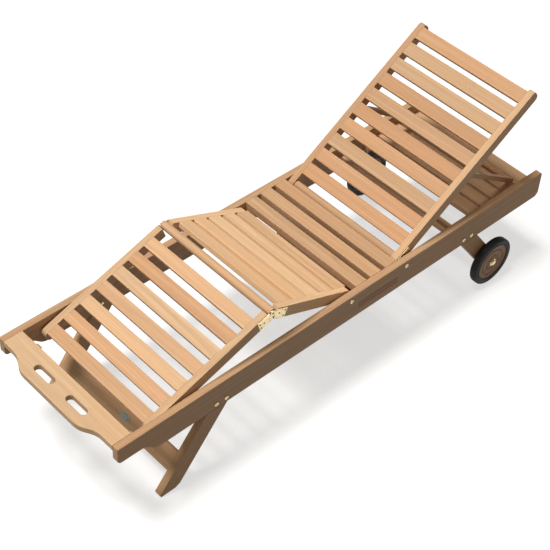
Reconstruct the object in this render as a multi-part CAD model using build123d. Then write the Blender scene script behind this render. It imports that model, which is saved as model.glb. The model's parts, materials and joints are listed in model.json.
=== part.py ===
from build123d import *
import os
from math import asin, cos, degrees, radians, sin, tan

# Reclining sun lounger. Millimetres, +Z up, origin on the ground under the middle of the
# lounger, -X towards the foot end, -Y towards the side where the tray pulls out.

# ---- Overall sizes ----
overall_length = 1970.0
frame_width = 592.0
seat_height = 367.0

# ---- Side rails ----
rail_thickness = 26.0
rail_height = 108.0
rail_foot_height = 68.0
rail_foot_length = 82.0
rail_curve_length = 84.0
rail_end_chamfer = 14.0
rail_foot_round = 16.0
edge_round = 3.0

# ---- Handle board at the foot end ----
handle_overhang = 32.0
handle_board_width = 104.0
handle_board_thickness = 24.0
handle_bulge_width = 236.0
handle_curve_width = 108.0
hand_slot_length = 92.0
hand_slot_width = 27.0
hand_slot_spacing = 160.0
hand_slot_setback = 49.0

# ---- Panels: side battens with slats let in flush between them ----
batten_depth = 42.0
batten_thickness = 24.0
batten_side_gap = 6.0
batten_end_round = 16.0
slat_thickness = 18.0
slat_round = 2.0
slat_end_gap = 0.4
dowel_radius = 16.0

# ---- Foot panel ----
foot_panel_end_gap = 6.0
foot_slat_count = 7
foot_slat_width = 45.0
foot_slat_margin = 9.0
foot_slat_knee_margin = 57.0
foot_end_drop = 37.05

# ---- Thigh panel ----
thigh_length = 359.0
thigh_slat_count = 5
thigh_slat_width = 54.0
thigh_slat_overrun = 20.5
thigh_slat_knee_margin = 46.5
thigh_rise = 22.6

# ---- Knee joint ----
knee_depth = 16.0
knee_dowel_radius = 15.0
knee_batten_gap = 19.0
knee_pin_radius = 4.0
knee_ring_radius = 12.0
hinge_leaf_thickness = 2.0
hinge_leaf_length = 44.0
hinge_leaf_margin = 3.0
hinge_gap = 0.4
foot_leaf_step = 1.0

# ---- Fixed seat slats ----
seat_slat_count = 3
seat_slat_width = 49.0
seat_slat_pitch = 69.0
seat_slat_thickness = 32.0
thigh_pivot_gap = 24.0

# ---- Backrest ----
back_pivot_gap = 7.0
back_pivot_from_head = 710.0
back_slat_count = 10
back_slat_width = 50.0
back_slat_pitch = 69.6
back_slat_margin = 42.0
back_top_margin = 14.0
back_rise = 33.2
pivot_plate_radius = 17.0
pivot_plate_length = 52.0

# ---- Back prop ----
prop_length = 365.0
prop_arm_depth = 18.0
prop_arm_thickness = 20.0
prop_side_gap = 4.0
prop_dowel_radius = 12.0
prop_pin_radius = 5.0

# ---- Cross boards at the head end ----
head_board_count = 4
head_board_width = 50.0
head_board_gap = 12.0
head_board_thickness = 20.0
head_end_board_width = 68.0
head_end_setback = 12.0
head_board_headroom = 2.0
head_bar_width = 40.0
head_bar_distance = 91.0
ledger_width = 20.0
head_ledger_height = 20.0
head_ledger_run_on = 4.0
seat_ledger_height = 9.0

# ---- Legs ----
leg_width = 65.0
leg_slope = 52.6
front_leg_setback = 404.5
front_leg_bolt_spacing = 41.0
leg_bolt_height = 22.0
leg_tongue_drop = 52.0
leg_foot_chamfer = 12.0
stretcher_width = 70.0
stretcher_thickness = 20.0
stretcher_drop = 265.0
plate_length = 46.0
plate_width = 26.0
plate_thickness = 1.5
plate_offset = 35.0

# ---- Wheels ----
wheel_leg_setback = 389.0
wheel_leg_bolt_spacing = 39.0
wheel_radius = 96.0
wheel_disc_radius = 73.0
wheel_disc_thickness = 26.0
tyre_width = 30.0
tyre_round = 8.0
wheel_side_gap = 4.0
wheel_hub_radius = 16.0
wheel_groove_radii = (28.0, 52.0)
wheel_groove_width = 3.0
wheel_groove_depth = 1.6
axle_radius = 6.0
axle_cap_radius = 11.0
axle_cap_length = 6.0
axle_cap_round = 3.6
wheel_end_gap = 0.4

# ---- Side tray ----
tray_width = 182.0
tray_thickness = 22.0
tray_length = 420.0
tray_headroom = 8.5
tray_setback = 8.0
tray_clearance = 1.5
tray_runner_lip = 8.0
tray_runner_width = 20.0
tray_runner_wall = 5.0
tray_recess_depth = 6.0
tray_recess_margin = 20.0

# ---- Rests for the foot panel ----
rest_width = 18.0
rest_wedge_length = 36.0
rest_wedge_height = 22.0
rest_block_length = 26.0
rest_block_setback = 102.0
rest_clearance = 1.5

# ---- Fasteners and fits ----
bolt_radius = 5.0
bolt_head_radius = 7.5
bolt_head_height = 3.0
bolt_socket_radius = 3.0
bolt_socket_depth = 1.6
bolt_end_cover = 2.0
bolt_end_gap = 1.0
running_clearance = 0.05
cut_overrun = 1.0
touch_overlap = 0.01

# ---- Places worked out from the sizes ----
deck = seat_height
foot_x = -overall_length / 2
head_x = overall_length / 2
rail_start = foot_x + handle_overhang
rail_outer = frame_width / 2
rail_inner = rail_outer - rail_thickness
board_back = foot_x + handle_board_width
batten_outer = rail_inner - batten_side_gap
batten_inner = batten_outer - batten_thickness
slat_half = batten_inner - slat_end_gap
pivot_depth = batten_depth / 2
back_pivot_x = head_x - back_pivot_from_head
back_pivot = (back_pivot_x, 0, deck - pivot_depth)
back_length = back_slat_margin + (back_slat_count - 1) * back_slat_pitch + back_slat_width + back_top_margin
last_seat_slat_end = back_pivot_x - pivot_depth - back_pivot_gap
first_seat_slat = last_seat_slat_end - (seat_slat_count - 1) * seat_slat_pitch - seat_slat_width
thigh_pivot_x = first_seat_slat - thigh_pivot_gap - pivot_depth
thigh_pivot = (thigh_pivot_x, 0, deck - pivot_depth)
thigh_slat_span = thigh_length + thigh_slat_overrun - thigh_slat_knee_margin
thigh_slat_pitch = (thigh_slat_span - thigh_slat_width) / (thigh_slat_count - 1)
knee_flat_x = thigh_pivot_x - thigh_length
knee_flat = (knee_flat_x, 0, deck - knee_depth)
knee_lift = pivot_depth - knee_depth
knee_x = thigh_pivot_x - thigh_length * cos(radians(thigh_rise)) + knee_lift * sin(radians(thigh_rise))
knee_z = deck - pivot_depth + thigh_length * sin(radians(thigh_rise)) + knee_lift * cos(radians(thigh_rise))
foot_panel_end = board_back + foot_panel_end_gap
foot_panel_length = knee_flat_x - foot_panel_end
foot_slat_span = foot_panel_length - foot_slat_margin - foot_slat_knee_margin
foot_slat_pitch = (foot_slat_span - foot_slat_width) / (foot_slat_count - 1)
foot_panel_fall = degrees(asin((knee_z - knee_flat[2] + foot_end_drop) / foot_panel_length))
prop_pivot = (back_pivot_x + prop_length, 0, deck - batten_depth + prop_dowel_radius)
rail_bottom = deck - rail_height
head_board_top = deck - batten_depth - head_board_headroom
axle_z = wheel_radius
wheel_inner = rail_outer + wheel_side_gap
wheel_outer = wheel_inner + tyre_width
tray_x = (first_seat_slat + last_seat_slat_end) / 2 - tray_setback
tray_top = deck - batten_depth - tray_headroom


def save(name, *solids):
    """Write one sub-part as a STEP file."""
    shape = solids[0] if len(solids) == 1 else Compound(children=list(solids))
    export_step(shape, f"parts/{name}.step")


def far(shape):
    """The same piece on the other side of the lounger."""
    return mirror(shape, about=Plane.XZ)


def block(x_from, x_to, y_from, y_to, z_from, z_to, rounding=0.0, along=Axis.Y):
    """A board between the given limits, with its long edges rounded."""
    size = (x_to - x_from, y_to - y_from, z_to - z_from)
    centre = ((x_from + x_to) / 2, (y_from + y_to) / 2, (z_from + z_to) / 2)
    board = Pos(*centre) * Box(*size)
    if rounding > 0:
        board = fillet(board.edges().filter_by(along), rounding)
    return board


def rod(x, z, y_from, y_to, radius):
    """A round bar along Y."""
    middle = (y_from + y_to) / 2
    return Pos(x, middle, z) * Rot(90, 0, 0) * Cylinder(radius, y_to - y_from)


def side_plate(outline, y_from, y_to):
    """A plate with a side outline, a closed list of (x, z) points, between two y values."""
    face = make_face(Plane.XZ.offset(-y_to) * Polyline(*outline, close=True))
    return extrude(face, y_to - y_from)


# ---- Frame ----

def side_rail():
    """Near side rail: full height, narrowed by an S-curve at the foot end."""
    curve_start = rail_start + rail_foot_length
    curve_end = curve_start + rail_curve_length
    curve_middle = (curve_start + curve_end) / 2
    foot_bottom = deck - rail_foot_height
    top_chamfer = rail_end_chamfer / 2
    outline = Curve() + [
        Line((rail_start, deck), (rail_start, foot_bottom)),
        Line((rail_start, foot_bottom), (curve_start, foot_bottom)),
        Bezier((curve_start, foot_bottom), (curve_middle, foot_bottom),
               (curve_middle, rail_bottom), (curve_end, rail_bottom)),
        Line((curve_end, rail_bottom), (head_x - rail_end_chamfer, rail_bottom)),
        Line((head_x - rail_end_chamfer, rail_bottom), (head_x, rail_bottom + rail_end_chamfer)),
        Line((head_x, rail_bottom + rail_end_chamfer), (head_x, deck - top_chamfer)),
        Line((head_x, deck - top_chamfer), (head_x - top_chamfer, deck)),
        Line((head_x - top_chamfer, deck), (rail_start, deck)),
    ]
    face = make_face(Plane.XZ.offset(rail_inner) * outline)
    rail = extrude(face, rail_thickness)
    upright = rail.edges().filter_by(Axis.Y)
    foot_corner = upright.sort_by(lambda e: (e.center() - Vector(rail_start, 0, foot_bottom)).length)[0]
    rail = fillet(foot_corner, rail_foot_round)
    outer = rail.edges().filter_by_position(Axis.Y, -rail_outer, -rail_outer)
    rail = fillet(outer, edge_round)
    inner = rail.edges().filter_by_position(Axis.Y, -rail_inner, -rail_inner)
    rail = fillet(inner, edge_round)
    for pivot in (thigh_pivot, back_pivot):
        rail -= rod(pivot[0], pivot[2], -rail_outer, -rail_inner, bolt_radius)
    for leg_top, spacing in leg_places():
        rail -= leg_tongue(leg_top)
        for x in bolt_places(leg_top, spacing):
            rail -= rod(x, rail_bottom + leg_bolt_height, -rail_outer, -rail_inner, bolt_radius)
    return rail


def tray_slot():
    """The opening in the near rail that the tray slides through."""
    half = tray_width / 2 + tray_clearance
    return block(tray_x - half, tray_x + half, -rail_outer - cut_overrun, -rail_inner + cut_overrun,
                 tray_top - tray_thickness - tray_clearance, tray_top + tray_clearance)


def handle_board():
    """Foot-end board with a bulged front edge and two hand slots."""
    bulge = handle_bulge_width / 2
    curve_end = bulge + handle_curve_width
    curve_middle = (bulge + curve_end) / 2
    half = [
        Line((foot_x, 0), (foot_x, bulge)),
        Bezier((foot_x, bulge), (foot_x, curve_middle), (rail_start, curve_middle), (rail_start, curve_end)),
        Line((rail_start, curve_end), (rail_start, rail_inner)),
        Line((rail_start, rail_inner), (board_back, rail_inner)),
        Line((board_back, rail_inner), (board_back, 0)),
        Line((board_back, 0), (foot_x, 0)),
    ]
    face = make_face(Curve() + half)
    face += mirror(face, about=Plane.XZ)
    board = extrude(Pos(0, 0, deck) * face, -handle_board_thickness)
    slot_x = foot_x + hand_slot_setback
    for side in (-1, 1):
        outline = Pos(slot_x, side * hand_slot_spacing / 2, deck) * Rot(0, 0, 90)
        slot = outline * SlotOverall(hand_slot_length, hand_slot_width)
        board -= extrude(slot, -handle_board_thickness)
    for level in (deck, deck - handle_board_thickness):
        rims = board.edges().filter_by_position(Axis.Z, level, level)
        rims = [e for e in rims if abs(e.center().Y) < rail_inner - cut_overrun]
        board = fillet(rims, edge_round)
    return board


def seat_slat(number):
    """One of the fixed slats, flush with the tops of the rails."""
    start = first_seat_slat + number * seat_slat_pitch
    return block(start, start + seat_slat_width, -rail_inner, rail_inner,
                 deck - seat_slat_thickness, deck, slat_round)


def head_board_start(number):
    """Where a head-end cross board starts, counted from the head-end board."""
    first = head_x - head_end_setback - head_end_board_width
    return first - (number + 1) * (head_board_width + head_board_gap)


def head_board(start, width):
    """One recessed cross board at the head end."""
    return block(start, start + width, -rail_inner, rail_inner,
                 head_board_top - head_board_thickness, head_board_top, slat_round)


def ledger(x_from, x_to, top, height):
    """A strip along the near rail that boards sit on."""
    return block(x_from, x_to, -rail_inner, -rail_inner + ledger_width, top - height, top)


# ---- Legs ----

def leg_places():
    """Where each leg crosses its bolts: x, and the distance between its two bolts."""
    front = (rail_start + front_leg_setback, front_leg_bolt_spacing)
    wheel = (head_x - wheel_leg_setback, wheel_leg_bolt_spacing)
    return front, wheel


def bolt_places(leg_top, spacing):
    """The x of a leg's two bolts."""
    return leg_top - spacing / 2, leg_top + spacing / 2


def leg_x(leg_top, z, direction):
    """The x of a leg's centre line at a height; the front leg leans to the foot end (-1)."""
    return leg_top + direction * (rail_bottom + leg_bolt_height - z) / tan(radians(leg_slope))


def leg_direction(leg_top):
    """-1 for the front leg, 1 for the wheel leg."""
    return -1 if leg_top < 0 else 1


def leg_outline(leg_top, z_from, z_to):
    """The slanted outline of a leg between two heights."""
    direction = leg_direction(leg_top)
    half = leg_width / 2 / sin(radians(leg_slope))
    low = leg_x(leg_top, z_from, direction)
    high = leg_x(leg_top, z_to, direction)
    return [(low - half, z_from), (low + half, z_from), (high + half, z_to), (high - half, z_to)]


def leg_tongue(leg_top):
    """The half-thickness top of a leg, let into the inside of the rail."""
    outline = leg_outline(leg_top, rail_bottom, deck - leg_tongue_drop)
    return side_plate(outline, -rail_inner - rail_thickness / 2, -rail_inner)


def leg_bolt_holes(leg_top, spacing):
    """The two bolt holes through a leg's tongue."""
    holes = [rod(x, rail_bottom + leg_bolt_height, -rail_outer, -rail_inner, bolt_radius)
             for x in bolt_places(leg_top, spacing)]
    return holes


def front_leg():
    """Near front leg: slanted, cut level with the ground."""
    leg_top, spacing = leg_places()[0]
    body = side_plate(leg_outline(leg_top, 0, rail_bottom), -rail_outer, -rail_inner)
    ground_corners = body.edges().filter_by(Axis.Y).filter_by_position(Axis.Z, -cut_overrun, cut_overrun)
    body = chamfer(ground_corners, leg_foot_chamfer)
    leg = body + leg_tongue(leg_top)
    for hole in leg_bolt_holes(leg_top, spacing):
        leg -= hole
    return leg


def wheel_leg():
    """Near wheel leg: slanted board with a rounded lower end around the axle."""
    leg_top, spacing = leg_places()[1]
    axle_x = wheel_axle_x()
    body = side_plate(leg_outline(leg_top, axle_z, rail_bottom), -rail_outer, -rail_inner)
    body += rod(axle_x, axle_z, -rail_outer, -rail_inner, leg_width / 2)
    body -= block(axle_x - leg_width, axle_x - leg_width / 2 * sin(radians(leg_slope)),
                  -rail_outer, -rail_inner, axle_z - leg_width / 2, axle_z + touch_overlap)
    leg = body + leg_tongue(leg_top)
    for hole in leg_bolt_holes(leg_top, spacing):
        leg -= hole
    return leg - rod(axle_x, axle_z, -rail_outer, -rail_inner, axle_radius)


def wheel_axle_x():
    """The x of the wheel axles."""
    return leg_x(leg_places()[1][0], axle_z, 1)


def stretcher_frame():
    """The plane of the stretcher's front face: x across the lounger, y up the legs' slope."""
    leg_top = leg_places()[0][0]
    half = leg_width / 2 / sin(radians(leg_slope))
    z = deck - stretcher_drop
    x = leg_x(leg_top, z, -1) - half
    up = (cos(radians(leg_slope)), 0, sin(radians(leg_slope)))
    out = (-sin(radians(leg_slope)), 0, cos(radians(leg_slope)))
    across = Vector(*up).cross(Vector(*out))
    return Plane(origin=(x, 0, z), x_dir=across, z_dir=out)


def front_stretcher():
    """The board between the front legs, in line with their front edges."""
    board = Box(2 * rail_inner, stretcher_width, stretcher_thickness)
    board = fillet(board.edges().filter_by(Axis.X), slat_round)
    return stretcher_frame() * Pos(0, 0, -stretcher_thickness / 2) * board


def stretcher_plate():
    """A plain oval metal plate on the stretcher, off centre towards the near leg."""
    oval = extrude(Pos(plate_offset, 0) * Ellipse(plate_length / 2, plate_width / 2), plate_thickness)
    rim = oval.edges().filter_by_position(Axis.Z, plate_thickness, plate_thickness)
    return stretcher_frame() * chamfer(rim, plate_thickness / 3)


# ---- Fasteners ----

def bolt(x, z, y_end):
    """A bolt from outside the near rail inwards, with a domed socket head."""
    shank = rod(x, z, -rail_outer, y_end, bolt_radius)
    head = rod(x, z, -rail_outer - bolt_head_height, -rail_outer, bolt_head_radius)
    rim = head.edges().filter_by_position(Axis.Y, -rail_outer - bolt_head_height,
                                          -rail_outer - bolt_head_height)
    head = fillet(rim, bolt_head_height / 2)
    socket_from = -rail_outer - bolt_head_height
    socket = rod(x, z, socket_from, socket_from + bolt_socket_depth, bolt_socket_radius)
    return head + shank - socket


def leg_bolts():
    """The eight bolts that hold the legs to the rails."""
    near = []
    for leg_top, spacing in leg_places():
        for x in bolt_places(leg_top, spacing):
            near.append(bolt(x, rail_bottom + leg_bolt_height, -rail_inner))
    return near + [far(one) for one in near]


def pivot_bolts():
    """The four bolts that the thigh panel and the backrest turn on."""
    end = -batten_inner - bolt_end_cover - bolt_end_gap
    near = [bolt(pivot[0], pivot[2], end) for pivot in (thigh_pivot, back_pivot)]
    return near + [far(one) for one in near]


def batten_bore(pivot):
    """The blind bore in a near batten for its pivot bolt."""
    return rod(pivot[0], pivot[2], -batten_outer - pivot_plate_length,
               -batten_inner - bolt_end_cover, bolt_radius + running_clearance)


# ---- Panels, built lying flat ----

def flat_batten(x_from, x_to, round_foot, round_head):
    """A near batten of a panel that lies flat, with its two ends rounded."""
    batten = block(x_from, x_to, -batten_outer, -batten_inner, deck - batten_depth, deck)
    ends = batten.edges().filter_by(Axis.Y).sort_by(Axis.X)
    if round_foot > 0:
        batten = fillet(ends[:2], round_foot)
    if round_head > 0:
        ends = batten.edges().filter_by(Axis.Y).sort_by(Axis.X)
        batten = fillet(ends[-2:], round_head)
    return batten


def flat_slat(x_from, width):
    """A slat of a panel that lies flat, let in flush between the battens."""
    return block(x_from, x_from + width, -slat_half, slat_half,
                 deck - slat_thickness, deck, slat_round)


def pivot_plate(pivot, direction):
    """A thin brass plate on a near batten around its pivot bolt."""
    x, z = pivot[0], pivot[2]
    y_from = -batten_outer - hinge_leaf_thickness
    plate = rod(x, z, y_from, -batten_outer, pivot_plate_radius)
    x_far = x + direction * pivot_plate_length
    plate += block(min(x, x_far), max(x, x_far), y_from, -batten_outer,
                   z - pivot_plate_radius, z + pivot_plate_radius)
    return plate - batten_bore(pivot)


def raise_thigh(shape):
    """Turn a flat thigh-panel piece up to its raised position."""
    return shape.rotate(Axis(thigh_pivot, (0, 1, 0)), thigh_rise)


def raise_foot_panel(shape):
    """Turn a flat foot-panel piece about the knee, then raise it with the thigh panel."""
    folded = shape.rotate(Axis(knee_flat, (0, 1, 0)), -(thigh_rise + foot_panel_fall))
    return raise_thigh(folded)


def raise_back(shape):
    """Turn a flat backrest piece up to its raised position."""
    return shape.rotate(Axis(back_pivot, (0, 1, 0)), -back_rise)


def raise_prop(shape):
    """Swing a flat prop piece down from the backrest, then raise it with the backrest."""
    swung = shape.rotate(Axis(prop_pivot, (0, 1, 0)), 2 * back_rise)
    return raise_back(swung)


def thigh_batten():
    """Near thigh batten, from the knee to just past its pivot."""
    batten = flat_batten(knee_flat_x + knee_batten_gap, thigh_pivot_x + pivot_depth, 0, batten_end_round)
    return batten - batten_bore(thigh_pivot)


def foot_batten():
    """Near foot-panel batten, from its rounded end to the knee."""
    return flat_batten(foot_panel_end, knee_flat_x - knee_batten_gap, batten_end_round, 0)


def knee_dowel():
    """Full-width dowel on the knee axis, with a pin at each end."""
    half = batten_outer - hinge_leaf_thickness - 2 * hinge_gap
    dowel = rod(knee_flat_x, deck - knee_depth, -half, half, knee_dowel_radius)
    pin_half = batten_outer + hinge_leaf_thickness + hinge_gap
    return dowel + rod(knee_flat_x, deck - knee_depth, -pin_half, pin_half, knee_pin_radius)


def hinge_plate(x_from, x_to):
    """The flat of a brass hinge leaf on the outside of a near batten."""
    return block(x_from, x_to, -batten_outer - hinge_leaf_thickness, -batten_outer,
                 deck - batten_depth + hinge_leaf_margin, deck - hinge_leaf_margin)


def thigh_hinge_leaf():
    """Thigh leaf: the ring is in line with the plate and held on the dowel's pin."""
    y_from = -batten_outer - hinge_leaf_thickness
    plate = hinge_plate(knee_flat_x + knee_ring_radius, knee_flat_x + knee_batten_gap + hinge_leaf_length)
    ring = rod(knee_flat_x, deck - knee_depth, y_from, -batten_outer, knee_ring_radius)
    tab = block(knee_flat_x, knee_flat_x + knee_ring_radius, y_from, -batten_outer,
                deck - knee_depth - knee_ring_radius / 2, deck - knee_depth + knee_ring_radius / 2)
    return plate + ring + tab - rod(knee_flat_x, deck - knee_depth, y_from, -batten_outer, knee_pin_radius)


def foot_hinge_leaf():
    """Foot leaf: the ring steps inwards, beside the thigh leaf's ring."""
    ring_to = -batten_outer + hinge_gap + hinge_leaf_thickness
    ring_from = -batten_outer + hinge_gap
    step = knee_ring_radius + foot_leaf_step
    plate = hinge_plate(knee_flat_x - knee_batten_gap - hinge_leaf_length, knee_flat_x - step)
    joggle = block(knee_flat_x - knee_batten_gap + hinge_gap, knee_flat_x - step,
                   -batten_outer - hinge_leaf_thickness, ring_to,
                   deck - knee_depth - knee_ring_radius / 2, deck - knee_depth + knee_ring_radius / 2)
    ring = rod(knee_flat_x, deck - knee_depth, ring_from, ring_to, knee_ring_radius)
    tab = block(knee_flat_x - step, knee_flat_x, ring_from, ring_to,
                deck - knee_depth - knee_ring_radius / 2, deck - knee_depth + knee_ring_radius / 2)
    bore = rod(knee_flat_x, deck - knee_depth, ring_from, ring_to, knee_pin_radius + running_clearance)
    return plate + joggle + ring + tab - bore


def back_batten():
    """Near backrest batten, with the bore for its pivot bolt and the hole for the prop's pin."""
    batten = flat_batten(back_pivot_x - pivot_depth, back_pivot_x + back_length,
                         batten_end_round, batten_end_round)
    return batten - batten_bore(back_pivot) - prop_pin_hole()


def prop_pin_hole():
    """Where a prop pin enters a near batten."""
    return rod(prop_pivot[0], prop_pivot[2], -batten_inner - batten_thickness / 2,
               -batten_inner, prop_pin_radius)


def prop_arm():
    """Near prop arm, between the batten and the end of the slats' underside."""
    outer = batten_inner - prop_side_gap
    half = prop_arm_depth / 2
    x_from = prop_pivot[0]
    x_to = prop_pivot[0] + prop_length
    inner = outer - prop_arm_thickness
    z = prop_pivot[2]
    arm = block(x_from, x_to, -outer, -inner, z - half, z + half)
    arm += rod(x_from, z, -outer, -inner, half)
    arm += rod(x_to, z, -outer, -inner, half)
    arm -= rod(x_from, z, -outer, -inner, prop_pin_radius + running_clearance)
    return arm - rod(x_to, z, -outer, -inner, prop_pin_radius)


def prop_pin():
    """A pin from a near batten into its prop arm."""
    end = -batten_inner + prop_side_gap + prop_arm_thickness - bolt_end_cover
    return rod(prop_pivot[0], prop_pivot[2], -batten_inner - batten_thickness / 2, end, prop_pin_radius)


def prop_dowel():
    """The dowel between the prop arms that stands on the cross boards."""
    half = batten_inner - prop_side_gap - prop_arm_thickness
    x = prop_pivot[0] + prop_length
    dowel = rod(x, prop_pivot[2], -half, half, prop_dowel_radius)
    tenon = half + prop_arm_thickness
    return dowel + rod(x, prop_pivot[2], -tenon, tenon, prop_pin_radius)


# ---- Rests for the foot panel ----

def foot_panel_rests():
    """Near wedge under the flat panel's end, and the block that carries the raised panel."""
    y_from = -rail_inner
    y_to = -rail_inner + rest_width + batten_side_gap
    top = deck - batten_depth - rest_clearance
    start = board_back
    wedge = side_plate([(start, top), (start + rest_wedge_length, top - rest_wedge_height),
                        (start, top - rest_wedge_height)], y_from, y_to)
    block_from = board_back + rest_block_setback
    underside = knee_z - (knee_x - block_from) * tan(radians(foot_panel_fall))
    underside -= (batten_depth - knee_depth) / cos(radians(foot_panel_fall))
    block_top = underside - rest_clearance
    rise = rest_block_length * tan(radians(foot_panel_fall))
    rest = side_plate([(block_from, block_top), (block_from + rest_block_length, block_top + rise),
                       (block_from + rest_block_length, rail_bottom + edge_round),
                       (block_from, rail_bottom + edge_round)], y_from, y_to)
    return [wedge, rest]


# ---- Wheels ----

def wheel_profile(points):
    """Turn a closed list of (radius, y) points about the near wheel's axle."""
    axle = Plane(origin=(wheel_axle_x(), 0, axle_z), x_dir=(1, 0, 0), z_dir=(0, 0, 1))
    face = axle * make_face(Polyline(*points, close=True))
    return revolve(face, Axis((wheel_axle_x(), 0, axle_z), (0, 1, 0)), 360)


def wheel_disc():
    """Turned wooden disc with a seat for the tyre and ring grooves on its outer face."""
    inset = (tyre_width - wheel_disc_thickness) / 2
    face_out = -wheel_outer + inset
    face_in = -wheel_inner - inset
    bore = axle_radius + running_clearance
    disc = wheel_profile([(bore, face_out), (wheel_disc_radius, face_out),
                          (wheel_disc_radius, face_in), (bore, face_in)])
    groove_floor = face_out + wheel_groove_depth
    for radius in wheel_groove_radii:
        edge = radius + wheel_groove_width
        disc -= wheel_profile([(radius, face_out), (edge, face_out),
                               (edge, groove_floor), (radius, groove_floor)])
    return disc


def tyre():
    """Solid rubber tyre around the disc."""
    ring = wheel_profile([(wheel_disc_radius, -wheel_outer), (wheel_radius, -wheel_outer),
                          (wheel_radius, -wheel_inner), (wheel_disc_radius, -wheel_inner)])
    treads = ring.edges().filter_by(GeomType.CIRCLE).filter_by(
        lambda e: abs(e.radius - wheel_radius) < touch_overlap)
    return fillet(treads, tyre_round)


def wheel_axle():
    """Axle bolt through the near wheel leg, with a domed cap outside and a collar at the wheel."""
    x = wheel_axle_x()
    inset = (tyre_width - wheel_disc_thickness) / 2
    cap_from = -wheel_outer + inset - wheel_end_gap
    axle = rod(x, axle_z, cap_from, -rail_inner, axle_radius)
    cap = rod(x, axle_z, cap_from - axle_cap_length, cap_from, axle_cap_radius)
    rim = cap.edges().filter_by_position(Axis.Y, cap_from - axle_cap_length, cap_from - axle_cap_length)
    cap = fillet(rim, axle_cap_round)
    collar = rod(x, axle_z, -wheel_inner - inset + wheel_end_gap, -rail_outer, wheel_hub_radius)
    return axle + cap + collar


# ---- Tray ----

def tray_board():
    """The pull-out tray: a board with a shallow recess in its top."""
    half = tray_width / 2
    board = block(tray_x - half, tray_x + half, -rail_outer, -rail_outer + tray_length,
                  tray_top - tray_thickness, tray_top)
    margin = tray_recess_margin
    recess = block(tray_x - half + margin, tray_x + half - margin,
                   -rail_inner + margin, -rail_outer + tray_length - margin,
                   tray_top - tray_recess_depth, tray_top, margin / 2, Axis.Z)
    return board - recess


def tray_runner():
    """Grooved runner under the seat slats that guides the foot-side edge of the tray."""
    groove_end = tray_x - tray_width / 2 - tray_clearance
    outer = groove_end - tray_runner_width + tray_runner_lip
    lip = groove_end + tray_runner_lip
    top = tray_top + tray_clearance + tray_runner_wall
    bottom = tray_top - tray_thickness - tray_clearance - tray_runner_wall
    runner = block(outer, lip, -rail_inner, rail_inner, bottom, top)
    groove = block(groove_end, lip, -rail_inner, rail_inner,
                   bottom + tray_runner_wall, top - tray_runner_wall)
    return runner - groove


# ---- Build and write every piece ----

os.makedirs("parts", exist_ok=True)

near_rail = side_rail()
save("side_rail_near", near_rail - tray_slot())
save("side_rail_far", far(near_rail))
save("handle_board", handle_board())
for number in range(seat_slat_count):
    save(f"seat_slat_{number + 1}", seat_slat(number))
save("head_end_board", head_board(head_x - head_end_setback - head_end_board_width, head_end_board_width))
save("head_boards", *[head_board(head_board_start(number), head_board_width)
                      for number in range(head_board_count)])
bar_start = head_board_start(head_board_count - 1) - head_bar_distance - head_bar_width
save("head_cross_bar", head_board(bar_start, head_bar_width))
head_ledger = ledger(head_board_start(head_board_count - 1) - head_ledger_run_on,
                     head_x - head_end_setback, head_board_top - head_board_thickness, head_ledger_height)
seat_ledger = ledger(first_seat_slat, last_seat_slat_end, deck - seat_slat_thickness, seat_ledger_height)
save("ledger_strips", head_ledger, seat_ledger, far(head_ledger), far(seat_ledger))
rests = foot_panel_rests()
save("foot_panel_rests", *rests, *[far(one) for one in rests])

near_front_leg = front_leg()
save("front_leg_near", near_front_leg)
save("front_leg_far", far(near_front_leg))
near_wheel_leg = wheel_leg()
save("wheel_legs", near_wheel_leg, far(near_wheel_leg))
save("front_stretcher", front_stretcher())
save("stretcher_plate", stretcher_plate())
save("leg_bolts", *leg_bolts())
save("pivot_bolts", *pivot_bolts())
near_axle = wheel_axle()
save("wheel_axles", near_axle, far(near_axle))

near_disc = wheel_disc()
save("wheel_disc_near", near_disc)
save("wheel_disc_far", far(near_disc))
near_tyre = tyre()
save("tyre_near", near_tyre)
save("tyre_far", far(near_tyre))

runner = tray_runner()
other_runner = mirror(runner, about=Plane.YZ.offset(tray_x))
save("tray_runners", runner, other_runner)
save("tray_board", tray_board())

near_back_batten = back_batten()
save("back_batten_near", raise_back(near_back_batten))
save("back_batten_far", raise_back(far(near_back_batten)))
for number in range(back_slat_count):
    start = back_pivot_x + back_slat_margin + number * back_slat_pitch
    save(f"back_slat_{number + 1:02d}", raise_back(flat_slat(start, back_slat_width)))
save("back_dowel", raise_back(rod(back_pivot_x, deck - pivot_depth, -slat_half, slat_half, dowel_radius)))
back_plate = pivot_plate(back_pivot, 1)
save("back_pivot_plates", raise_back(back_plate), raise_back(far(back_plate)))
save("prop_pins", raise_back(prop_pin()), raise_back(far(prop_pin())))

near_prop_arm = prop_arm()
save("prop_arms", raise_prop(near_prop_arm), raise_prop(far(near_prop_arm)))
save("prop_dowel", raise_prop(prop_dowel()))

near_thigh_batten = thigh_batten()
save("thigh_battens", raise_thigh(near_thigh_batten), raise_thigh(far(near_thigh_batten)))
for number in range(thigh_slat_count):
    end = thigh_pivot_x + thigh_slat_overrun - number * thigh_slat_pitch
    save(f"thigh_slat_{number + 1}", raise_thigh(flat_slat(end - thigh_slat_width, thigh_slat_width)))
thigh_leaf = thigh_hinge_leaf()
save("thigh_hinge_leaves", raise_thigh(thigh_leaf), raise_thigh(far(thigh_leaf)))
save("knee_dowel", raise_thigh(knee_dowel()))

near_foot_batten = foot_batten()
save("foot_battens", raise_foot_panel(near_foot_batten), raise_foot_panel(far(near_foot_batten)))
for number in range(foot_slat_count):
    start = foot_panel_end + foot_slat_margin + number * foot_slat_pitch
    save(f"foot_slat_{number + 1}", raise_foot_panel(flat_slat(start, foot_slat_width)))
foot_leaf = foot_hinge_leaf()
save("foot_hinge_leaves", raise_foot_panel(foot_leaf), raise_foot_panel(far(foot_leaf)))
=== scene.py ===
"""Looks of a reclining wooden sun lounger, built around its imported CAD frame."""

import json
import math
import random

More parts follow.
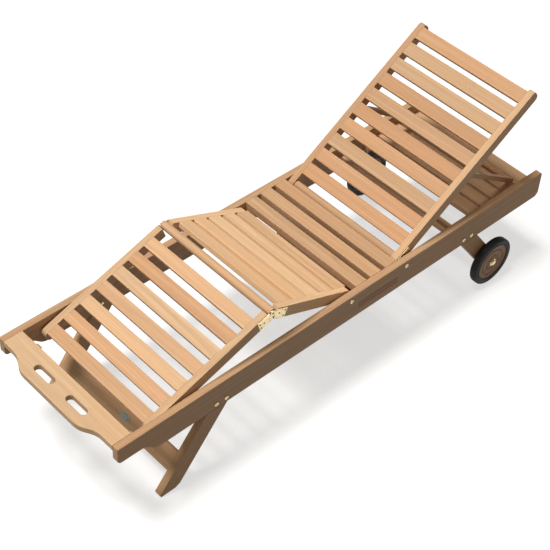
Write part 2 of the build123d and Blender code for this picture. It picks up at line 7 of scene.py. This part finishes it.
import bmesh
import bpy
from mathutils import Matrix, Vector


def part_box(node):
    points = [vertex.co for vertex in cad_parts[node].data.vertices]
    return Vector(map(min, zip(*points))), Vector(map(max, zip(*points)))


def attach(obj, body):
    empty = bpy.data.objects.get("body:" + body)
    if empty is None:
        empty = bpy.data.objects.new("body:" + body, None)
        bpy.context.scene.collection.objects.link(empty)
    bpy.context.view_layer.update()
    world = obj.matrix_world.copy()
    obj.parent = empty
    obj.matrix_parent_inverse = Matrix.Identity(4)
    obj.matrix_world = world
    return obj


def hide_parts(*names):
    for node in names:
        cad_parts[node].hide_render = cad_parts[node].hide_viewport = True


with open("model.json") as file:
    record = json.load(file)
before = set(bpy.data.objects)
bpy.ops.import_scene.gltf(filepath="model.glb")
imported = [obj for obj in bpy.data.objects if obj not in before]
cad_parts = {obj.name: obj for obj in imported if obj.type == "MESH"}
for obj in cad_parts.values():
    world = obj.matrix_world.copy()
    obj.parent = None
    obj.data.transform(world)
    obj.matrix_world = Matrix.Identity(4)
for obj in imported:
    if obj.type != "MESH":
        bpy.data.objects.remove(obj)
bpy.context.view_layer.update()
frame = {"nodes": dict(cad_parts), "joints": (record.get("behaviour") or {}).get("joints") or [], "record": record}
NODES = frame["nodes"]
JOINTS = {joint["name"]: joint for joint in frame["joints"]}
SIDES = (("near", -1), ("far", 1))
SMOOTH_ANGLE = math.radians(32)

# ---- Screws, in metres, and shares of the head's height or radius ----
SCREW_RADIUS = 0.0034
SCREW_HEIGHT = 0.0012
SCREW_SLOT = 0.0009
SCREW_SINK = 0.0003
SCREW_STEPS = 20
SCREW_RIM_HEIGHT = 0.55
SCREW_CROWN_WIDTH = 0.72
SCREW_BASE_WIDTH = 0.97
SCREW_SLOT_FLOOR = 0.2
SCREW_SEED = 7
PLATE_SKIN = 0.0004

# Screw places on the brass plates, as shares of a plate's length and width.
FOOT_LEAF_SCREWS = ((0.13, 0.25), (0.13, 0.75), (0.45, 0.5))
THIGH_LEAF_SCREWS = ((0.88, 0.25), (0.88, 0.75), (0.55, 0.5))
BACK_PLATE_SCREWS = ((0.62, 0.5), (0.90, 0.5))

# ---- Wheels, in metres ----
TURNED_STEPS = 96
WASHER_STEPS = 48
AXLE_BORE = 0.0062
BORE_CHAMFER = 0.0006
HUB_RADIUS = 0.0170
HUB_SLOPE = 0.0020
WEB_DISH = 0.0016
GROOVES = ((0.0295, 0.0019), (0.0535, 0.0021))    # radius and half width of each
GROOVE_DEPTH = 0.0030
GROOVE_BEAD = 0.0007
RIM_ROLL = 0.0060
RIM_RISE = 0.0009
RIM_DROP = 0.0003
RIM_CHAMFER = 0.0015
TYRE_PROUD = 0.0002
TYRE_SHOULDER = 0.0070
SHOULDER_SWEEP = 80
SHOULDER_STEPS = 8
TREAD_LINE_OFFSET = 0.0045
TREAD_LINE_HALF = 0.0009
TREAD_LINE_DEPTH = 0.0010
# The bead round the tyre's side: each point's distance out from the disc, and in from the side face.
TYRE_BEAD = ((0.0, 0.0010), (0.0015, 0.0), (0.0038, 0.0), (0.0046, 0.0008))
WASHER_RADIUS = 0.0145
WASHER_THICKNESS = 0.0008
WASHER_CHAMFER = 0.0003

# ---- Colours, linear ----
PALE_WOOD = (0.690, 0.478, 0.290)
WARM_WOOD = (0.610, 0.345, 0.188)
RAIL_WOOD = (0.540, 0.335, 0.190)
TRAY_WOOD = (0.430, 0.215, 0.120)
WHEEL_WOOD = (0.400, 0.225, 0.125)
BRASS = (0.800, 0.660, 0.400)
SCREW_BRASS = (0.230, 0.160, 0.080)
PLATE_METAL = (0.330, 0.370, 0.320)
TARNISH = (0.42, 0.36, 0.28)                      # share of the metal's tone that tarnish leaves
RUBBER = (0.008, 0.008, 0.009)
DUST = (0.045, 0.040, 0.034)
FLOOR = (0.42, 0.42, 0.42)
FLOOR_GLOW = 0.62

# Each group's share of the warm tone, lowest and highest, and its brightness, lowest and highest.
GROUP_TONES = {
    "handle_board": (0.00, 0.15, 0.98, 1.00),
    "foot_": (0.10, 1.00, 0.94, 1.10),
    # Thigh boards: their pale share is the wood's own. Their raised brightness is painted light, making up for the
    # key light that falls low on the tilted thigh panel.
    "thigh_": (0.00, 0.45, 1.12, 1.26),
    "seat_": (0.45, 0.85, 0.86, 0.94),
    "back_": (0.30, 1.00, 0.86, 1.06),
}
OTHER_TONES = (0.20, 0.90, 0.88, 1.00)
PLAIN_BRIGHTNESS = (0.94, 1.04)

# ---- Wood pattern: noise scales per metre, along the grain and across it ----
WANDER_SCALE = (1.6, 9.0)
FIBRE_SCALE = (9.0, 420.0)
STREAK_SCALE = (1.3, 60.0)
PORE_SCALE = (26.0, 900.0)
BLOTCH_SCALE = (2.2, 7.0)
KNOT_SCALE = (5.0, 14.0)
RINGS_PER_METRE = (95, 150)
BANDS_PER_METRE = (210, 340)                      # in radians
HEART_LEAN = 0.035
HEART_SIDEWAYS = 0.12
HEART_DEPTH = (0.05, 0.11)
RING_WANDER = 0.030
BAND_TINT = (0.88, 0.76, 0.66)
BLOTCH_TINT = (0.98, 0.86, 0.72)
WOOD_GLOSS = 0.2
KNOTTY_BOARDS = 0.2
KNOT_STRENGTH = 0.5
TONE_SEED = 1000
GRAIN_SEED = 50
LATHE_RINGS = 3600.0                              # radians per metre of radius

# ---- Which way the grain runs ----
BACK_SLOPE = math.radians(-JOINTS["recline"]["range_deg"][0])
GRAIN_ACROSS = ("back_slat", "foot_slat", "thigh_slat", "seat_slat", "head_", "handle_board", "back_dowel",
                "knee_dowel", "prop_dowel", "front_stretcher", "tray_runners", "tray_board")
GRAIN_LENGTHWISE = ("side_rail", "ledger_strips", "foot_panel_rests")
GRAIN_FALLING = ("thigh_battens", "prop_arms", "wheel_legs")
RAIL_NODES = ("side_rail", "front_leg", "wheel_legs", "front_stretcher")

# ---- Camera, the same view as the reference ----
VIEW_AZIMUTH = math.radians(-45.47)
VIEW_ELEVATION = math.radians(44.64)
VIEW_ROLL = math.radians(3.74)
VIEW_DISTANCE = 4.835
VIEW_AIM = Vector((-0.048, 0.0, 0.284))
SENSOR_WIDTH = 36.0
LENS = 93.9

# ---- Stage ----
FLOOR_HALF = 12.0
FLOOR_DROP = 0.0005
AMBIENT_TINT = (1.0, 0.92, 0.78)
AMBIENT_STRENGTH = 0.20
SURROUND_BRIGHTNESS = 0.95


# ---- Node helpers ----

class Graph:
    """A short way to add and join shader nodes."""

    def __init__(self, name):
        self.material = bpy.data.materials.new(name)
        self.material.use_nodes = True
        self.tree = self.material.node_tree
        self.shader = self.tree.nodes["Principled BSDF"]

    def join(self, value, socket):
        """Link an output to a socket, or set the socket's own value."""
        if isinstance(value, bpy.types.NodeSocket):
            self.tree.links.new(value, socket)
        else:
            socket.default_value = value

    def math(self, operation, first, second=0.0):
        node = self.tree.nodes.new("ShaderNodeMath")
        node.operation = operation
        self.join(first, node.inputs[0])
        self.join(second, node.inputs[1])
        return node.outputs[0]

    def scaled(self, vector, scale):
        node = self.tree.nodes.new("ShaderNodeVectorMath")
        node.operation = "MULTIPLY"
        self.join(vector, node.inputs[0])
        self.join(scale, node.inputs[1])
        return node.outputs[0]

    def split(self, vector):
        node = self.tree.nodes.new("ShaderNodeSeparateXYZ")
        self.join(vector, node.inputs[0])
        return node.outputs

    def length(self, first, second):
        """The length of a flat vector, from its two parts."""
        squares = self.math("ADD", self.math("MULTIPLY", first, first), self.math("MULTIPLY", second, second))
        return self.math("SQRT", squares)

    def noise(self, vector, scale, detail, roughness):
        node = self.tree.nodes.new("ShaderNodeTexNoise")
        self.join(vector, node.inputs["Vector"])
        self.join(scale, node.inputs["Scale"])
        self.join(detail, node.inputs["Detail"])
        self.join(roughness, node.inputs["Roughness"])
        return node.outputs["Fac"]

    def grained(self, place, scale, detail, roughness):
        """Noise drawn out along X: the scale is a pair, along X and across it."""
        along, across = scale
        return self.noise(self.scaled(place, (along, across, across)), 1.0, detail, roughness)

    def speckled(self, place, scale, detail, roughness):
        """Noise of the same scale every way."""
        return self.grained(place, (scale, scale), detail, roughness)

    def ramp(self, value, low, high, to_low=0.0, to_high=1.0):
        node = self.tree.nodes.new("ShaderNodeMapRange")
        node.interpolation_type = "SMOOTHSTEP"
        for number, socket in zip((value, low, high, to_low, to_high), node.inputs):
            self.join(number, socket)
        return node.outputs[0]

    def mix(self, factor, first, second):
        node = self.tree.nodes.new("ShaderNodeMix")
        node.data_type = "RGBA"
        self.join(factor, node.inputs[0])
        self.join(colour(first), node.inputs[6])
        self.join(colour(second), node.inputs[7])
        return node.outputs[2]

    def bump(self, height, distance, strength):
        node = self.tree.nodes.new("ShaderNodeBump")
        self.join(strength, node.inputs["Strength"])
        self.join(distance, node.inputs["Distance"])
        self.join(height, node.inputs["Height"])
        self.join(node.outputs[0], self.shader.inputs["Normal"])

    def position(self, rotation=(0.0, 0.0, 0.0), offset=(0.0, 0.0, 0.0)):
        """Object coordinates, turned and shifted."""
        source = self.tree.nodes.new("ShaderNodeTexCoord")
        mapping = self.tree.nodes.new("ShaderNodeMapping")
        mapping.inputs["Rotation"].default_value = rotation
        mapping.inputs["Location"].default_value = offset
        self.tree.links.new(source.outputs["Object"], mapping.inputs["Vector"])
        return mapping.outputs[0]


def colour(value):
    """A colour with alpha, or a socket as it is."""
    if isinstance(value, bpy.types.NodeSocket):
        return value
    return (*value, 1.0)


def shade(tone, factor):
    """A lighter or darker tone."""
    return tuple(channel * factor for channel in tone)


def tint(tone, shares):
    """A tone with each channel scaled by its own share."""
    return tuple(channel * share for channel, share in zip(tone, shares))


# ---- Materials ----

def wood(name, tone, grain, seed, knots):
    """Sawn hardwood: growth rings, fibres, pores and blotches along the grain direction."""
    g = Graph(name)
    turn = Vector(grain).normalized().rotation_difference(Vector((1, 0, 0))).to_euler()
    dice = random.Random(seed)
    shift = tuple(dice.uniform(-3, 3) for _ in range(3))
    place = g.position(tuple(turn), shift)
    x, y, z = g.split(place)

    # Rings of a log whose axis is slightly askew, so long flames show on the wide faces.
    wander = g.grained(place, WANDER_SCALE, 3.0, 0.55)
    lean = dice.uniform(-HEART_LEAN, HEART_LEAN)
    heart_y = shift[1] + dice.uniform(-HEART_SIDEWAYS, HEART_SIDEWAYS)
    heart_z = shift[2] + dice.choice((-1, 1)) * dice.uniform(*HEART_DEPTH)
    across = g.math("ADD", g.math("SUBTRACT", y, heart_y), g.math("MULTIPLY", x, lean))
    radius = g.length(across, g.math("SUBTRACT", z, heart_z))
    radius = g.math("ADD", radius, g.math("MULTIPLY", wander, RING_WANDER))
    rings = g.math("FRACT", g.math("MULTIPLY", radius, dice.uniform(*RINGS_PER_METRE)))
    late_wood = g.ramp(rings, 0.35, 0.98)
    waves = g.math("SINE", g.math("MULTIPLY", radius, dice.uniform(*BANDS_PER_METRE)))
    bands = g.ramp(waves, -0.2, 1.0)
    fibres = g.grained(place, FIBRE_SCALE, 4.0, 0.65)
    streaks = g.grained(place, STREAK_SCALE, 3.0, 0.6)
    pores = g.ramp(g.grained(place, PORE_SCALE, 2.0, 0.5), 0.62, 0.74)
    blotches = g.grained(place, BLOTCH_SCALE, 2.0, 0.5)

    surface = g.mix(g.ramp(streaks, 0.30, 0.72), shade(tone, 0.90), shade(tone, 1.10))
    surface = g.mix(g.math("MULTIPLY", bands, 0.30), surface, tint(tone, BAND_TINT))
    surface = g.mix(g.math("MULTIPLY", late_wood, 0.48), surface, shade(tone, 0.72))
    surface = g.mix(g.math("MULTIPLY", g.ramp(fibres, 0.35, 0.75), 0.30), surface, shade(tone, 0.78))
    surface = g.mix(g.math("MULTIPLY", pores, 0.40), surface, shade(tone, 0.45))
    surface = g.mix(g.ramp(blotches, 0.35, 0.7, 0.0, 0.35), surface, tint(tone, BLOTCH_TINT))
    if knots > 0:
        spots = g.ramp(g.grained(place, KNOT_SCALE, 1.0, 0.4), 0.76, 0.84)
        surface = g.mix(g.math("MULTIPLY", spots, knots), surface, shade(tone, 0.40))
    g.join(surface, g.shader.inputs["Base Color"])
    rough = g.ramp(g.math("ADD", fibres, g.math("MULTIPLY", late_wood, 0.3)), 0.3, 1.0, 0.66, 0.48)
    g.join(rough, g.shader.inputs["Roughness"])
    g.shader.inputs["Specular IOR Level"].default_value = WOOD_GLOSS
    relief = g.math("ADD", g.math("MULTIPLY", fibres, 0.7), g.math("MULTIPLY", late_wood, 0.35))
    relief = g.math("SUBTRACT", relief, g.math("MULTIPLY", pores, 0.8))
    g.bump(relief, 0.0004, 0.55)
    return g.material


def turned_wood(name, tone, centre):
    """Wheel wood: flat-sawn grain with fine lathe rings about the axle."""
    g = Graph(name)
    to_axle = tuple(-value for value in centre)
    place = g.position((0.0, 0.6, 0.0), to_axle)
    x, _, z = g.split(g.position(offset=to_axle))
    fibres = g.grained(place, (14.0, 300.0), 4.0, 0.6)
    streaks = g.noise(g.scaled(place, (4.0, 90.0, 60.0)), 1.0, 3.0, 0.6)
    tool_marks = g.math("SINE", g.math("MULTIPLY", g.length(x, z), LATHE_RINGS))
    surface = g.mix(g.ramp(streaks, 0.3, 0.75), shade(tone, 0.72), shade(tone, 1.25))
    surface = g.mix(g.math("MULTIPLY", g.ramp(fibres, 0.4, 0.75), 0.4), surface, shade(tone, 0.6))
    surface = g.mix(g.ramp(tool_marks, 0.2, 1.0, 0.0, 0.12), surface, shade(tone, 0.55))
    g.join(surface, g.shader.inputs["Base Color"])
    g.join(g.ramp(fibres, 0.3, 0.8, 0.42, 0.6), g.shader.inputs["Roughness"])
    g.shader.inputs["Specular IOR Level"].default_value = WOOD_GLOSS
    g.bump(g.math("ADD", fibres, g.math("MULTIPLY", tool_marks, 0.35)), 0.0003, 0.5)
    return g.material


def metal(name, tone, roughness, wear, relief):
    """Brass or plate metal with tarnish in patches, fine scratches and small pits."""
    g = Graph(name)
    place = g.position()
    tarnish = g.speckled(place, 60.0, 4.0, 0.6)
    scratches = g.noise(g.scaled(place, (114.0, 380.0, 1140.0)), 1.0, 2.0, 0.6)
    pits = g.ramp(g.speckled(place, 900.0, 2.0, 0.5), 0.66, 0.78)
    surface = g.mix(g.ramp(tarnish, 0.42, 0.72, 0.0, wear), tone, tint(tone, TARNISH))
    surface = g.mix(g.math("MULTIPLY", pits, 0.4), surface, shade(tone, 0.35))
    g.join(surface, g.shader.inputs["Base Color"])
    g.shader.inputs["Metallic"].default_value = 1.0
    g.join(g.ramp(tarnish, 0.3, 0.75, roughness, roughness + 0.25), g.shader.inputs["Roughness"])
    g.bump(g.math("SUBTRACT", g.math("MULTIPLY", scratches, 0.4), pits), 0.0001, relief)
    return g.material


def rubber(name):
    """Black rubber: dusty patches, and a fine moulding speckle."""
    g = Graph(name)
    place = g.position()
    dust = g.speckled(place, 26.0, 4.0, 0.6)
    speckle = g.speckled(place, 1400.0, 2.0, 0.6)
    g.join(g.mix(g.ramp(dust, 0.45, 0.8, 0.0, 0.22), RUBBER, DUST), g.shader.inputs["Base Color"])
    g.join(g.ramp(dust, 0.3, 0.8, 0.55, 0.78), g.shader.inputs["Roughness"])
    g.shader.inputs["Specular IOR Level"].default_value = 0.3
    g.bump(speckle, 0.0002, 0.4)
    return g.material


def floor_material():
    """Pale matt floor with a very faint mottle."""
    g = Graph("floor_paint")
    mottle = g.noise(g.position(), 3.0, 3.0, 0.5)
    g.join(g.mix(g.ramp(mottle, 0.3, 0.7), FLOOR, shade(FLOOR, 0.985)), g.shader.inputs["Base Color"])
    g.shader.inputs["Roughness"].default_value = 0.9
    g.shader.inputs["Specular IOR Level"].default_value = 0.1
    g.shader.inputs["Emission Color"].default_value = (1.0, 1.0, 1.0, 1.0)
    g.shader.inputs["Emission Strength"].default_value = FLOOR_GLOW
    return g.material


# ---- Mesh helpers ----

def new_piece(name, mesh_maker, material, body):
    """A new piece from a bmesh function, painted, riding on a body."""
    mesh = bpy.data.meshes.new(name)
    shape = bmesh.new()
    mesh_maker(shape)
    bmesh.ops.recalc_face_normals(shape, faces=shape.faces)
    shape.to_mesh(mesh)
    shape.free()
    mesh.materials.append(material)
    piece = bpy.data.objects.new(name, mesh)
    bpy.context.scene.collection.objects.link(piece)
    smooth(mesh)
    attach(piece, body)
    return piece


def smooth(mesh):
    """Smooth shading with sharp edges kept."""
    for face in mesh.polygons:
        face.use_smooth = True
    mesh.set_sharp_from_angle(angle=SMOOTH_ANGLE)


def lathe(shape, profile, centre, steps=TURNED_STEPS):
    """Turn a closed profile of (radius, y) points about an axis along Y through the centre."""
    rings = []
    for step in range(steps):
        angle = 2 * math.pi * step / steps
        out = (math.cos(angle), math.sin(angle))
        rings.append([shape.verts.new((centre[0] + radius * out[0], y, centre[2] + radius * out[1]))
                      for radius, y in profile])
    count = len(profile)
    for step in range(steps):
        here, there = rings[step], rings[(step + 1) % steps]
        for index in range(count):
            after = (index + 1) % count
            shape.faces.new((here[index], here[after], there[after], there[index]))


def arc(centre, radius, start, end, steps):
    """Points of an arc, in degrees, as (radius, y) pairs."""
    points = []
    for step in range(steps + 1):
        angle = math.radians(start + (end - start) * step / steps)
        points.append((centre[0] + radius * math.cos(angle), centre[1] + radius * math.sin(angle)))
    return points


def on_side(profile, side):
    """A profile of (radius, y) points, on the near or the far side."""
    return [(radius, side * y) for radius, y in profile]


# ---- Wheels ----

def disc_profile(inner, outer, edge):
    """Turned wheel face: a raised hub, a dished web with two rounded grooves and a rolled rim."""
    web = outer - WEB_DISH
    face = [(AXLE_BORE, outer - BORE_CHAMFER), (AXLE_BORE + BORE_CHAMFER, outer)]
    face += [(HUB_RADIUS, outer), (HUB_RADIUS + HUB_SLOPE * 0.6, (outer + web) / 2)]
    face += [(HUB_RADIUS + HUB_SLOPE, web)]
    for groove, half in GROOVES:
        flank = web - GROOVE_DEPTH * 0.3
        face += [(groove - half * 1.4, web), (groove - half, flank), (groove, web - GROOVE_DEPTH)]
        face += [(groove + half, flank), (groove + half * 1.4, web), (groove + half * 2.6, web + GROOVE_BEAD)]
    face += [(edge - RIM_ROLL, web), (edge - RIM_ROLL * 0.75, web + RIM_RISE)]
    face += [(edge - RIM_ROLL / 3, outer - RIM_DROP), (edge, outer - RIM_CHAMFER)]
    face += [(edge, inner + RIM_CHAMFER), (edge - RIM_CHAMFER, inner)]
    face += [(AXLE_BORE + BORE_CHAMFER, inner), (AXLE_BORE, inner + BORE_CHAMFER)]
    return face


def tyre_profile(inner, outer, seat, tread):
    """Solid tyre section: rounded shoulders, a raised side bead and two shallow tread lines."""
    shoulder = tread - TYRE_SHOULDER
    middle = (inner + outer) / 2
    section = [(seat + rise, outer - fall) for rise, fall in TYRE_BEAD]
    section += arc((shoulder, outer - TYRE_SHOULDER), TYRE_SHOULDER, SHOULDER_SWEEP, 0, SHOULDER_STEPS)
    for line in (middle + TREAD_LINE_OFFSET, middle - TREAD_LINE_OFFSET):
        section += [(tread, line + TREAD_LINE_HALF), (tread - TREAD_LINE_DEPTH, line)]
        section += [(tread, line - TREAD_LINE_HALF)]
    section += arc((shoulder, inner + TYRE_SHOULDER), TYRE_SHOULDER, 0, -SHOULDER_SWEEP, SHOULDER_STEPS)
    section += [(seat + rise, inner + fall) for rise, fall in reversed(TYRE_BEAD)]
    return section


def washer_profile(seat):
    """A flat washer with its outer edge eased, lying on the disc's face."""
    top = seat + WASHER_THICKNESS
    return [(AXLE_BORE, seat), (AXLE_BORE, top), (WASHER_RADIUS - WASHER_CHAMFER, top),
            (WASHER_RADIUS, seat + WASHER_THICKNESS / 2), (WASHER_RADIUS, seat)]


def build_wheel(tag, side):
    """One wheel's turned disc, tyre and washer."""
    body = f"wheel_{tag}"
    centre = Vector(JOINTS[f"wheel_{tag}_spin"]["pos_m"])
    disc_low, disc_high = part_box(f"wheel_disc_{tag}")
    tyre_low, tyre_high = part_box(f"tyre_{tag}")
    edge = (disc_high.x - disc_low.x) / 2
    tread = (tyre_high.x - tyre_low.x) / 2
    disc_inner, disc_outer = sorted((abs(disc_low.y), abs(disc_high.y)))
    tyre_inner, tyre_outer = sorted((abs(tyre_low.y), abs(tyre_high.y)))
    disc_shape = on_side(disc_profile(disc_inner, disc_outer, edge), side)
    tyre_shape = on_side(tyre_profile(tyre_inner, tyre_outer, edge + TYRE_PROUD, tread), side)
    washer_shape = on_side(washer_profile(disc_outer), side)

    disc = new_piece(f"turned_disc_{tag}", lambda shape: lathe(shape, disc_shape, centre),
                     turned_wood(f"turned_wood_{tag}", WHEEL_WOOD, centre), body)
    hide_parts(f"wheel_disc_{tag}")
    band = new_piece(f"rubber_tyre_{tag}", lambda shape: lathe(shape, tyre_shape, centre),
                     rubber(f"tyre_rubber_{tag}"), body)
    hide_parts(f"tyre_{tag}")
    new_piece(f"axle_washer_{tag}", lambda shape: lathe(shape, washer_shape, centre, WASHER_STEPS),
              MATERIALS["brass"], body)


# ---- Screws ----

def screw_head(shape, place, out, slot_angle):
    """A low domed screw head with a sawn slot: two half-round segments on a thin base."""
    along = Matrix.Rotation(slot_angle, 3, out) @ out.orthogonal().normalized()
    across = out.cross(along)
    low = place - out * SCREW_SINK

    def point(u, v, height):
        return shape.verts.new(low + along * u + across * v + out * height)

    def ring(height):
        angles = [2 * math.pi * step / SCREW_STEPS for step in range(SCREW_STEPS)]
        width = SCREW_RADIUS * SCREW_BASE_WIDTH
        return [point(math.cos(angle) * width, math.sin(angle) * width, height) for angle in angles]

    start = math.asin(SCREW_SLOT / 2 / SCREW_RADIUS)
    half_steps = SCREW_STEPS // 2
    for sign in (-1, 1):
        rim_low, rim_high, crown = [], [], []
        for step in range(half_steps + 1):
            angle = start + (math.pi - 2 * start) * step / half_steps
            u, v = math.cos(angle) * SCREW_RADIUS, sign * math.sin(angle) * SCREW_RADIUS
            rim_low.append(point(u, v, 0.0))
            rim_high.append(point(u, v, SCREW_HEIGHT * SCREW_RIM_HEIGHT))
            inner_v = sign * max(abs(v) * SCREW_CROWN_WIDTH, SCREW_SLOT / 2)
            crown.append(point(u * SCREW_CROWN_WIDTH, inner_v, SCREW_HEIGHT))
        for index in range(half_steps):
            after = index + 1
            shape.faces.new((rim_low[index], rim_low[after], rim_high[after], rim_high[index]))
            shape.faces.new((rim_high[index], rim_high[after], crown[after], crown[index]))
        shape.faces.new(crown)
        shape.faces.new((rim_low[0], rim_high[0], crown[0], crown[-1], rim_high[-1], rim_low[-1]))
        shape.faces.new(list(reversed(rim_low)))
    slot_floor = ring(SCREW_HEIGHT * SCREW_SLOT_FLOOR)
    shape.faces.new(slot_floor)
    bottom = ring(0.0)
    shape.faces.new(list(reversed(bottom)))
    for index in range(SCREW_STEPS):
        after = (index + 1) % SCREW_STEPS
        shape.faces.new((bottom[index], bottom[after], slot_floor[after], slot_floor[index]))


def screw_row(name, body, places, out, dice):
    """Screws at the given places, as one piece."""
    def make(shape):
        for place in places:
            screw_head(shape, place, out, dice.uniform(0, math.pi))
    new_piece(name, make, MATERIALS["screw"], body)


def long_direction(points, centre):
    """The direction, in the XZ plane, that the points spread along most."""
    spread_xx = sum((p.x - centre.x) ** 2 for p in points)
    spread_zz = sum((p.z - centre.z) ** 2 for p in points)
    spread_xz = sum((p.x - centre.x) * (p.z - centre.z) for p in points)
    angle = 0.5 * math.atan2(2 * spread_xz, spread_xx - spread_zz)
    return Vector((math.cos(angle), 0, math.sin(angle)))


def between(values, share):
    """The value at a share of the way from the lowest to the highest."""
    return min(values) + (max(values) - min(values)) * share


def plate_screws(node, body, fractions, dice):
    """Screws on both brass plates of a node, placed along and across each plate's face."""
    cloud = [vertex.co for vertex in NODES[node].data.vertices]
    face = max(abs(point.y) for point in cloud)
    for tag, side in SIDES:
        skin = [point for point in cloud if point.y * side > face - PLATE_SKIN]
        centre = sum(skin, Vector()) / len(skin)
        along = long_direction(skin, centre)
        across = Vector((-along.z, 0, along.x))
        reach = [(point - centre).dot(along) for point in skin]
        height = [(point - centre).dot(across) for point in skin]
        places = []
        for u, v in fractions:
            offset = along * between(reach, u) + across * between(height, v)
            places.append(Vector((centre.x + offset.x, side * face, centre.z + offset.z)))
        screw_row(f"{node}_screws_{tag}", body, places, Vector((0, side, 0)), dice)


# ---- Materials for every CAD node ----

def grain_of(node):
    """The direction of a node's longest stretch, which its grain follows."""
    if node.startswith(GRAIN_ACROSS):
        return (0, 1, 0)
    if node.startswith(GRAIN_LENGTHWISE):
        return (1, 0, 0)
    if node.startswith("back_batten"):
        return (math.cos(BACK_SLOPE), 0, math.sin(BACK_SLOPE))
    low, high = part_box(node)
    rise = high.z - low.z
    return (high.x - low.x, 0, -rise if node.startswith(GRAIN_FALLING) else rise)


def tone_ranges(node):
    """The warmth and brightness ranges of a node's group."""
    for start, ranges in GROUP_TONES.items():
        if node.startswith(start):
            return ranges
    return OTHER_TONES


def wood_tone(node, dice):
    """Each board's tone: the tray and the rails have their own, the others lie between pale and warm, and the
    thigh boards are brightened further as painted light.
    """
    if node == "tray_board":
        return shade(TRAY_WOOD, dice.uniform(*PLAIN_BRIGHTNESS))
    if node.startswith(RAIL_NODES):
        return shade(RAIL_WOOD, dice.uniform(*PLAIN_BRIGHTNESS))
    warm_low, warm_high, dim, bright = tone_ranges(node)
    warm = dice.uniform(warm_low, warm_high)
    base = tuple(p + (w - p) * warm for p, w in zip(PALE_WOOD, WARM_WOOD))
    # For the thigh boards this brightness carries painted light as well as the wood's own tone.
    return shade(base, dice.uniform(dim, bright))


def paint(node, material):
    """Give a CAD node a material in all its slots."""
    mesh = NODES[node].data
    mesh.materials.clear()
    mesh.materials.append(material)


def paint_frame():
    """Materials for the CAD nodes that stay visible."""
    slots = {part["node"]: part["material_slot"] for part in frame["record"]["subparts"]}
    for index, node in enumerate(sorted(NODES)):
        dice = random.Random(TONE_SEED + index)
        if slots[node] in ("slat_wood", "frame_wood"):
            knots = KNOT_STRENGTH if dice.random() < KNOTTY_BOARDS else 0.0
            tone = wood_tone(node, dice)
            paint(node, wood(f"wood_{node}", tone, grain_of(node), GRAIN_SEED + index, knots))
        elif slots[node] == "brass":
            paint(node, MATERIALS["brass"])
        elif slots[node] == "plate_metal":
            paint(node, MATERIALS["plate"])


# ---- Stage ----

def make_camera():
    """The camera at the reference view."""
    back = Vector((math.sin(VIEW_AZIMUTH) * math.cos(VIEW_ELEVATION),
                   -math.cos(VIEW_AZIMUTH) * math.cos(VIEW_ELEVATION), math.sin(VIEW_ELEVATION)))
    data = bpy.data.cameras.new("camera")
    data.sensor_width = SENSOR_WIDTH
    data.lens = LENS
    camera = bpy.data.objects.new("camera", data)
    bpy.context.scene.collection.objects.link(camera)
    place = Matrix.Translation(VIEW_AIM + back * VIEW_DISTANCE)
    facing = back.to_track_quat("Z", "Y").to_matrix().to_4x4()
    camera.matrix_world = place @ facing @ Matrix.Rotation(VIEW_ROLL, 4, "Z")
    bpy.context.scene.camera = camera


def make_sun(name, direction, energy, tone, softness):
    """A sun light from a direction."""
    data = bpy.data.lights.new(name, "SUN")
    data.energy = energy
    data.color = tone
    data.angle = softness
    light = bpy.data.objects.new(name, data)
    light.matrix_world = Vector(direction).normalized().to_track_quat("Z", "Y").to_matrix().to_4x4()
    bpy.context.scene.collection.objects.link(light)


def make_floor():
    """Pale floor just under the object."""
    mesh = bpy.data.meshes.new("floor")
    corners = [(x * FLOOR_HALF, y * FLOOR_HALF, 0) for x, y in ((-1, -1), (1, -1), (1, 1), (-1, 1))]
    mesh.from_pydata(corners, [], [(0, 1, 2, 3)])
    mesh.materials.append(floor_material())
    floor = bpy.data.objects.new("floor", mesh)
    floor.location.z = -FLOOR_DROP
    floor.visible_diffuse = False
    bpy.context.scene.collection.objects.link(floor)


def make_surround():
    """A warm dim ambient light, which the camera sees as a pale surround."""
    world = bpy.data.worlds.new("surround")
    world.use_nodes = True
    tree = world.node_tree
    ambient = tree.nodes["Background"]
    ambient.inputs["Color"].default_value = colour(AMBIENT_TINT)
    ambient.inputs["Strength"].default_value = AMBIENT_STRENGTH
    seen = tree.nodes.new("ShaderNodeBackground")
    seen.inputs["Color"].default_value = (1.0, 1.0, 1.0, 1.0)
    seen.inputs["Strength"].default_value = SURROUND_BRIGHTNESS
    rays = tree.nodes.new("ShaderNodeLightPath")
    choose = tree.nodes.new("ShaderNodeMixShader")
    tree.links.new(rays.outputs["Is Camera Ray"], choose.inputs[0])
    tree.links.new(ambient.outputs[0], choose.inputs[1])
    tree.links.new(seen.outputs[0], choose.inputs[2])
    tree.links.new(choose.outputs[0], tree.nodes["World Output"].inputs[0])
    bpy.context.scene.world = world


# ---- Make everything ----

MATERIALS = {
    "brass": metal("brass", BRASS, 0.30, 0.35, 0.25),
    "screw": metal("screw_brass", SCREW_BRASS, 0.40, 0.60, 0.40),
    "plate": metal("plate_metal", PLATE_METAL, 0.38, 0.60, 0.50),
}
make_camera()
make_floor()
make_sun("key", (-0.38, 0.28, 1.6), 3.30, (1.0, 0.985, 0.955), math.radians(16))
make_sun("fill", (-1.0, -0.15, 0.55), 0.30, (1.0, 0.95, 0.88), math.radians(40))
make_surround()
bpy.context.scene.view_settings.view_transform = "Standard"
paint_frame()
for wheel_tag, wheel_side in SIDES:
    build_wheel(wheel_tag, wheel_side)
screw_dice = random.Random(SCREW_SEED)
plate_screws("foot_hinge_leaves", "foot_panel", FOOT_LEAF_SCREWS, screw_dice)
plate_screws("thigh_hinge_leaves", "thigh_panel", THIGH_LEAF_SCREWS, screw_dice)
plate_screws("back_pivot_plates", "backrest", BACK_PLATE_SCREWS, screw_dice)
